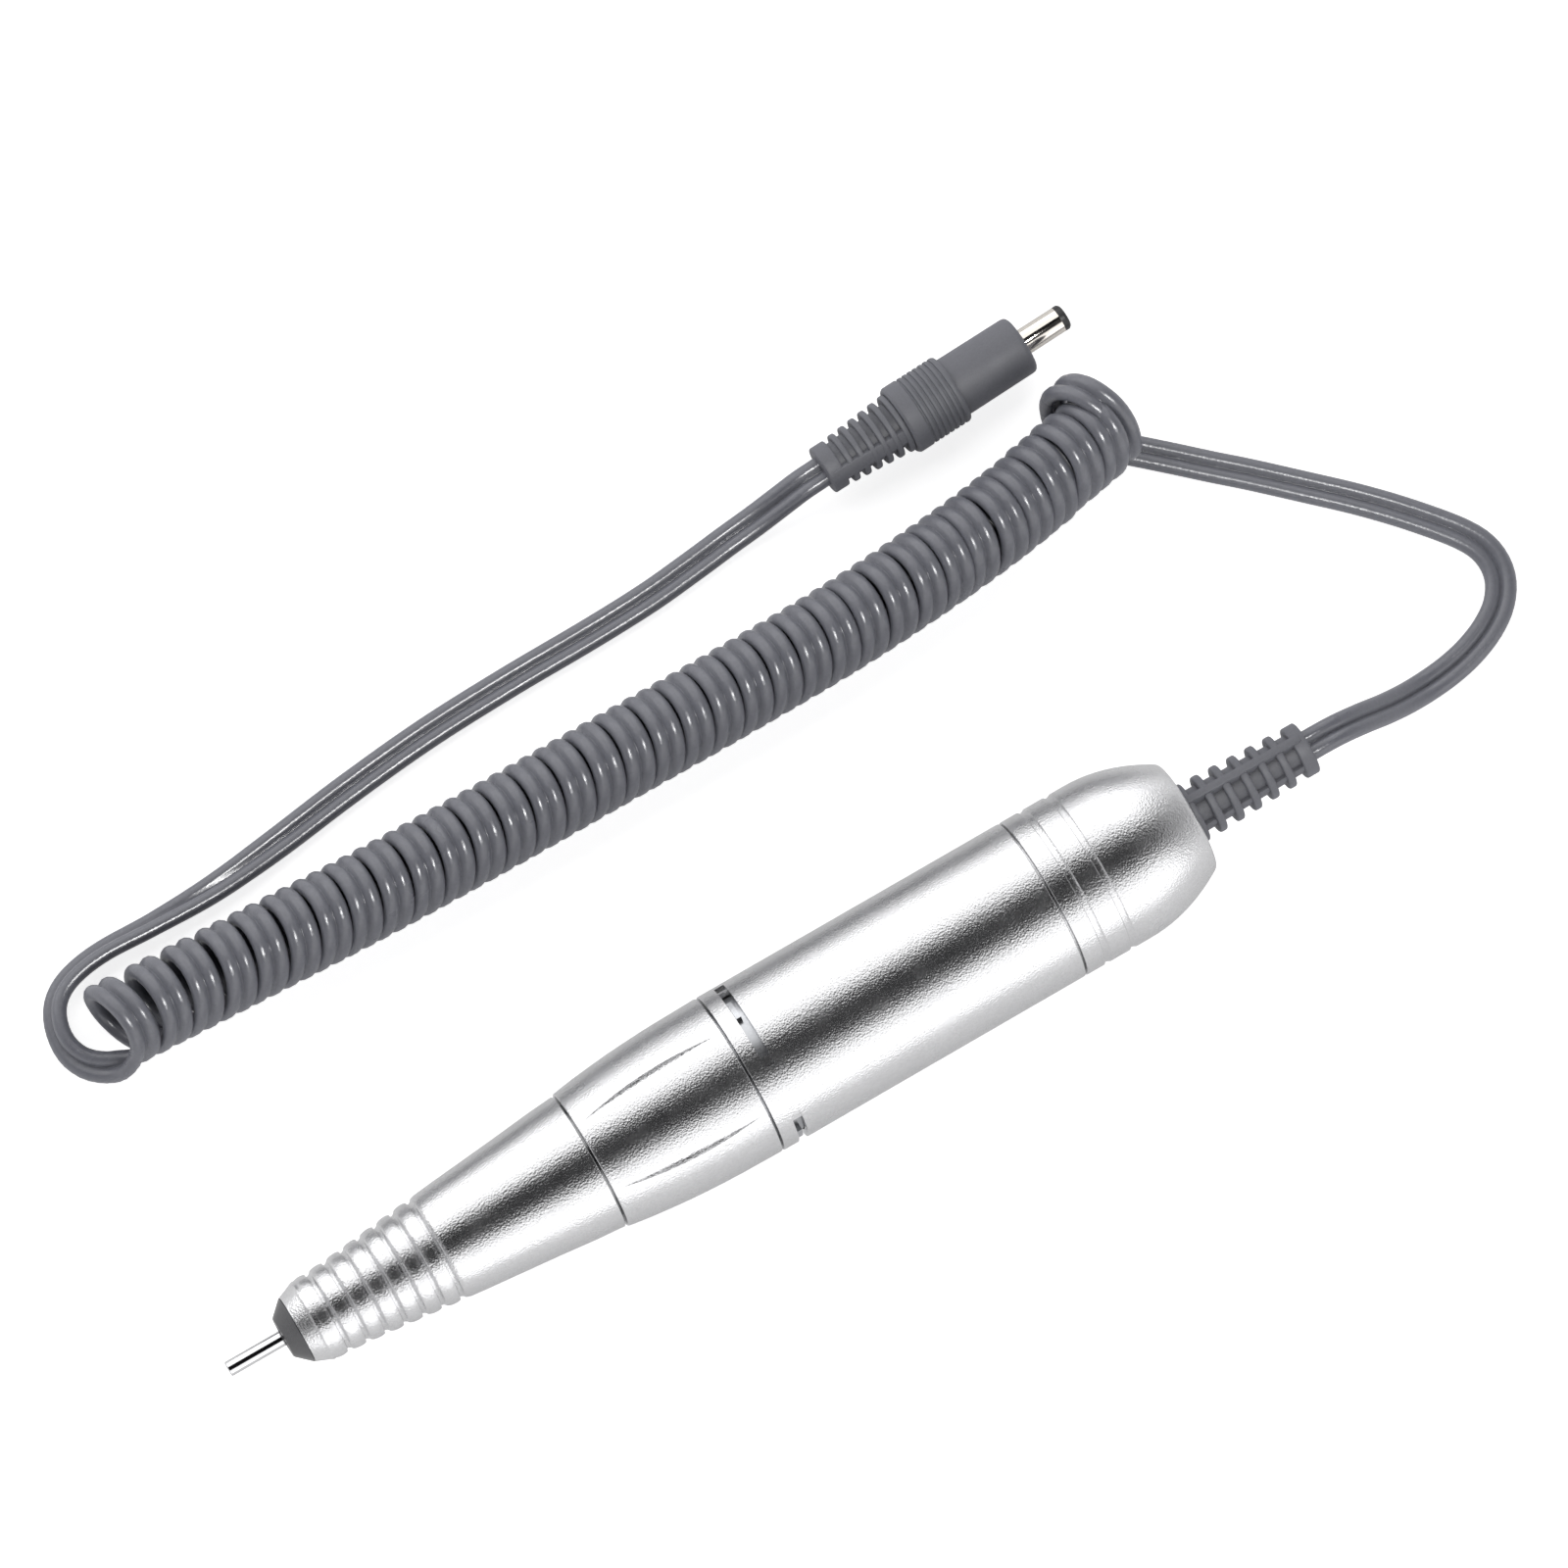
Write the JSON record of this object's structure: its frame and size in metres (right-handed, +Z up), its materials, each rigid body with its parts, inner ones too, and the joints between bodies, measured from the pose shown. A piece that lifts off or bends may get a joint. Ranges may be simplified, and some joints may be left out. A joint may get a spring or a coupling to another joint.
{
  "type": "nail drill handpiece",
  "caption": "Silver pen-shaped nail drill handpiece with ringed nose, twist-lock sleeve and chuck, curly flat twin cord and straight barrel plug, lying on its side.",
  "frame": {"origin": "on the surface it lies on, under the middle of the handpiece measured from the tip of the bit to the end of the boot", "axes": "+X along the handpiece from the nose to the cord, +Z up from the surface, +Y towards the curly cord"},
  "size_m": [0.2207, 0.0912, 0.0252],
  "materials": {
    "satin_aluminium": "bead-blasted satin silver",
    "dark_nose": "dark satin grey",
    "machined_aluminium": "turned",
    "polished_steel": "polished",
    "ground_steel": "ground",
    "bearing_steel": "polished",
    "plated_steel": "zinc plated",
    "laminated_steel": "stacked laminations",
    "spring_steel": "drawn wire",
    "magnet": "sintered dark grey",
    "bronze": "sintered bronze",
    "brass": "stamped",
    "copper": "turned copper",
    "copper_wire": "enamelled copper wire",
    "carbon": "pressed carbon",
    "black_plastic": "moulded",
    "coupling_plastic": "moulded blue",
    "black_rubber": "matte",
    "boot_plastic": "soft blue-grey moulding",
    "cord_jacket": "soft glossy blue-grey jacket",
    "nickel": "nickel plated",
    "lead_insulation": "red wire insulation"
  },
  "bodies": {
    "handpiece": {"nose_bezel": "dark_nose", "nose_cone": "satin_aluminium", "sleeve_o_ring": "black_rubber", "chuck_body": "machined_aluminium", "front_bearing_outer_rings": "bearing_steel", "bearing_spacer": "bronze", "bearing_nut": "plated_steel", "rear_bearing_outer_ring": "bearing_steel", "bearing_retainer": "plated_steel", "motor_housing": "satin_aluminium", "motor_front_plate": "machined_aluminium", "motor_can": "plated_steel", "stator_magnets": "magnet", "motor_bearing_outer_rings": "bearing_steel", "brush_plate": "black_plastic", "brush_holders": "brass", "carbon_brushes": "carbon", "brush_springs": "spring_steel", "terminal_tabs": "brass", "motor_leads": "lead_insulation", "rear_cap": "satin_aluminium", "cord_boot": "boot_plastic", "cord_clip": "brass", "cord_tail": "cord_jacket", "handpiece_cord": "cord_jacket", "cord_coil": "cord_jacket", "plug_cord": "cord_jacket", "plug_cord_tail": "cord_jacket", "plug_grip": "boot_plastic", "plug_body": "boot_plastic", "plug_barrel": "nickel", "plug_insulator": "black_plastic", "plug_contact": "nickel", "plug_leads": "lead_insulation"},
    "sleeve": {"twist_sleeve": "satin_aluminium", "cam_ring": "plated_steel"},
    "pusher": {"pressure_ring": "bronze", "release_pins": "bearing_steel"},
    "spinner": {"spindle": "ground_steel", "front_bearing_inner_rings": "bearing_steel", "front_bearing_balls": "bearing_steel", "rear_bearing_inner_ring": "bearing_steel", "rear_bearing_balls": "bearing_steel", "spindle_coupling": "plated_steel", "motor_coupling": "coupling_plastic", "rotor_core": "laminated_steel", "rotor_windings": "copper_wire", "commutator": "copper", "motor_shaft": "ground_steel", "motor_bearing_inner_rings": "bearing_steel", "motor_bearing_balls": "bearing_steel", "chuck_spring": "spring_steel"},
    "chuck": {"collet": "ground_steel", "draw_rod": "ground_steel", "cross_pin": "bearing_steel", "push_collar": "ground_steel"},
    "bit": {"bit": "polished_steel"}
  },
  "joints": [
    {"name": "sleeve_turn", "type": "hinge", "parent": "handpiece", "child": "sleeve", "pos_m": [-0.018, 0, 0.0126], "axis": [1, 0, 0], "range_deg": [0, 30]},
    {"name": "spindle_spin", "type": "hinge", "parent": "handpiece", "child": "spinner", "pos_m": [0, 0, 0.0126], "axis": [1, 0, 0], "continuous": true},
    {"name": "pusher_slide", "type": "slide", "parent": "handpiece", "child": "pusher", "axis": [-1, 0, 0], "range_m": [0, 0.0012]},
    {"name": "collet_slide", "type": "slide", "parent": "spinner", "child": "chuck", "axis": [-1, 0, 0], "range_m": [0, 0.0012], "deforming": ["chuck_spring"]},
    {"name": "bit_slide", "type": "slide", "parent": "chuck", "child": "bit", "axis": [-1, 0, 0], "range_m": [0, 0.03]}
  ],
  "couplings": [
    {"joint": "pusher_slide", "follows": "sleeve_turn", "m_per_rad": 0.0022918},
    {"joint": "collet_slide", "follows": "sleeve_turn", "m_per_rad": 0.0022918}
  ]
}
